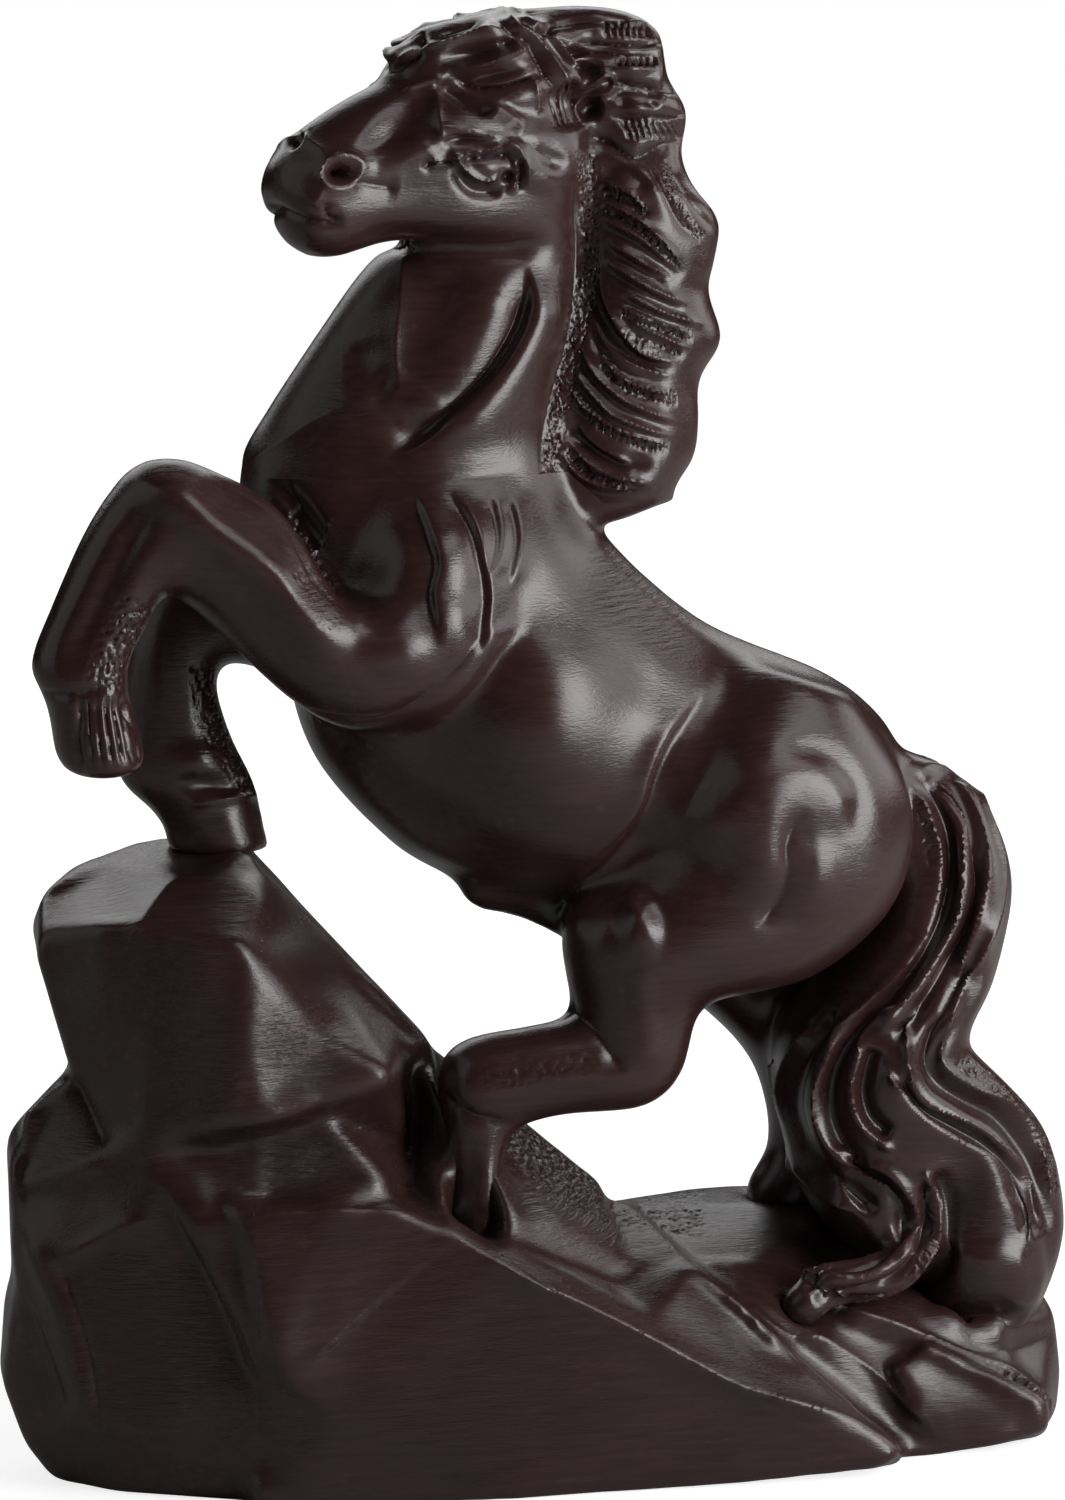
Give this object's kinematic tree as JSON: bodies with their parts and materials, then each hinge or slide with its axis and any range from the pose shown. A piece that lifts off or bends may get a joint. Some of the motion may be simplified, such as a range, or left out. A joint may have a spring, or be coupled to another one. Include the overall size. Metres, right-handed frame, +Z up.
{
  "type": "carved wooden horse figure",
  "caption": "Carved dark hardwood horse standing on rocks with one foreleg raised, a free-standing ornament glued up from shaped blanks.",
  "frame": {"origin": "middle of the rock pile's flat underside, on the surface it stands on", "axes": "+Z up; the horse looks along -X, its tail is at +X, and its raised foreleg is on the -Y side"},
  "size_m": [0.152, 0.063, 0.1995],
  "materials": {
    "coat_wood": "waxed satin",
    "hair_wood": "waxed satin, carved",
    "rock_wood": "waxed satin, tool marked"
  },
  "bodies": {
    "root": {"torso": "coat_wood", "neck": "coat_wood", "head": "coat_wood", "forelock": "hair_wood", "crest": "hair_wood", "mane": "hair_wood", "near_foreleg": "coat_wood", "near_fore_hoof": "hair_wood", "far_foreleg": "coat_wood", "far_fore_hoof": "hair_wood", "near_hind_leg": "coat_wood", "near_hind_hoof": "hair_wood", "far_hind_leg": "coat_wood", "far_hind_hoof": "hair_wood", "tail": "hair_wood", "front_boulder": "rock_wood", "left_rock": "rock_wood", "front_slab": "rock_wood", "ridge_rock": "rock_wood", "right_rock": "rock_wood", "back_rock": "rock_wood"}
  },
  "joints": []
}
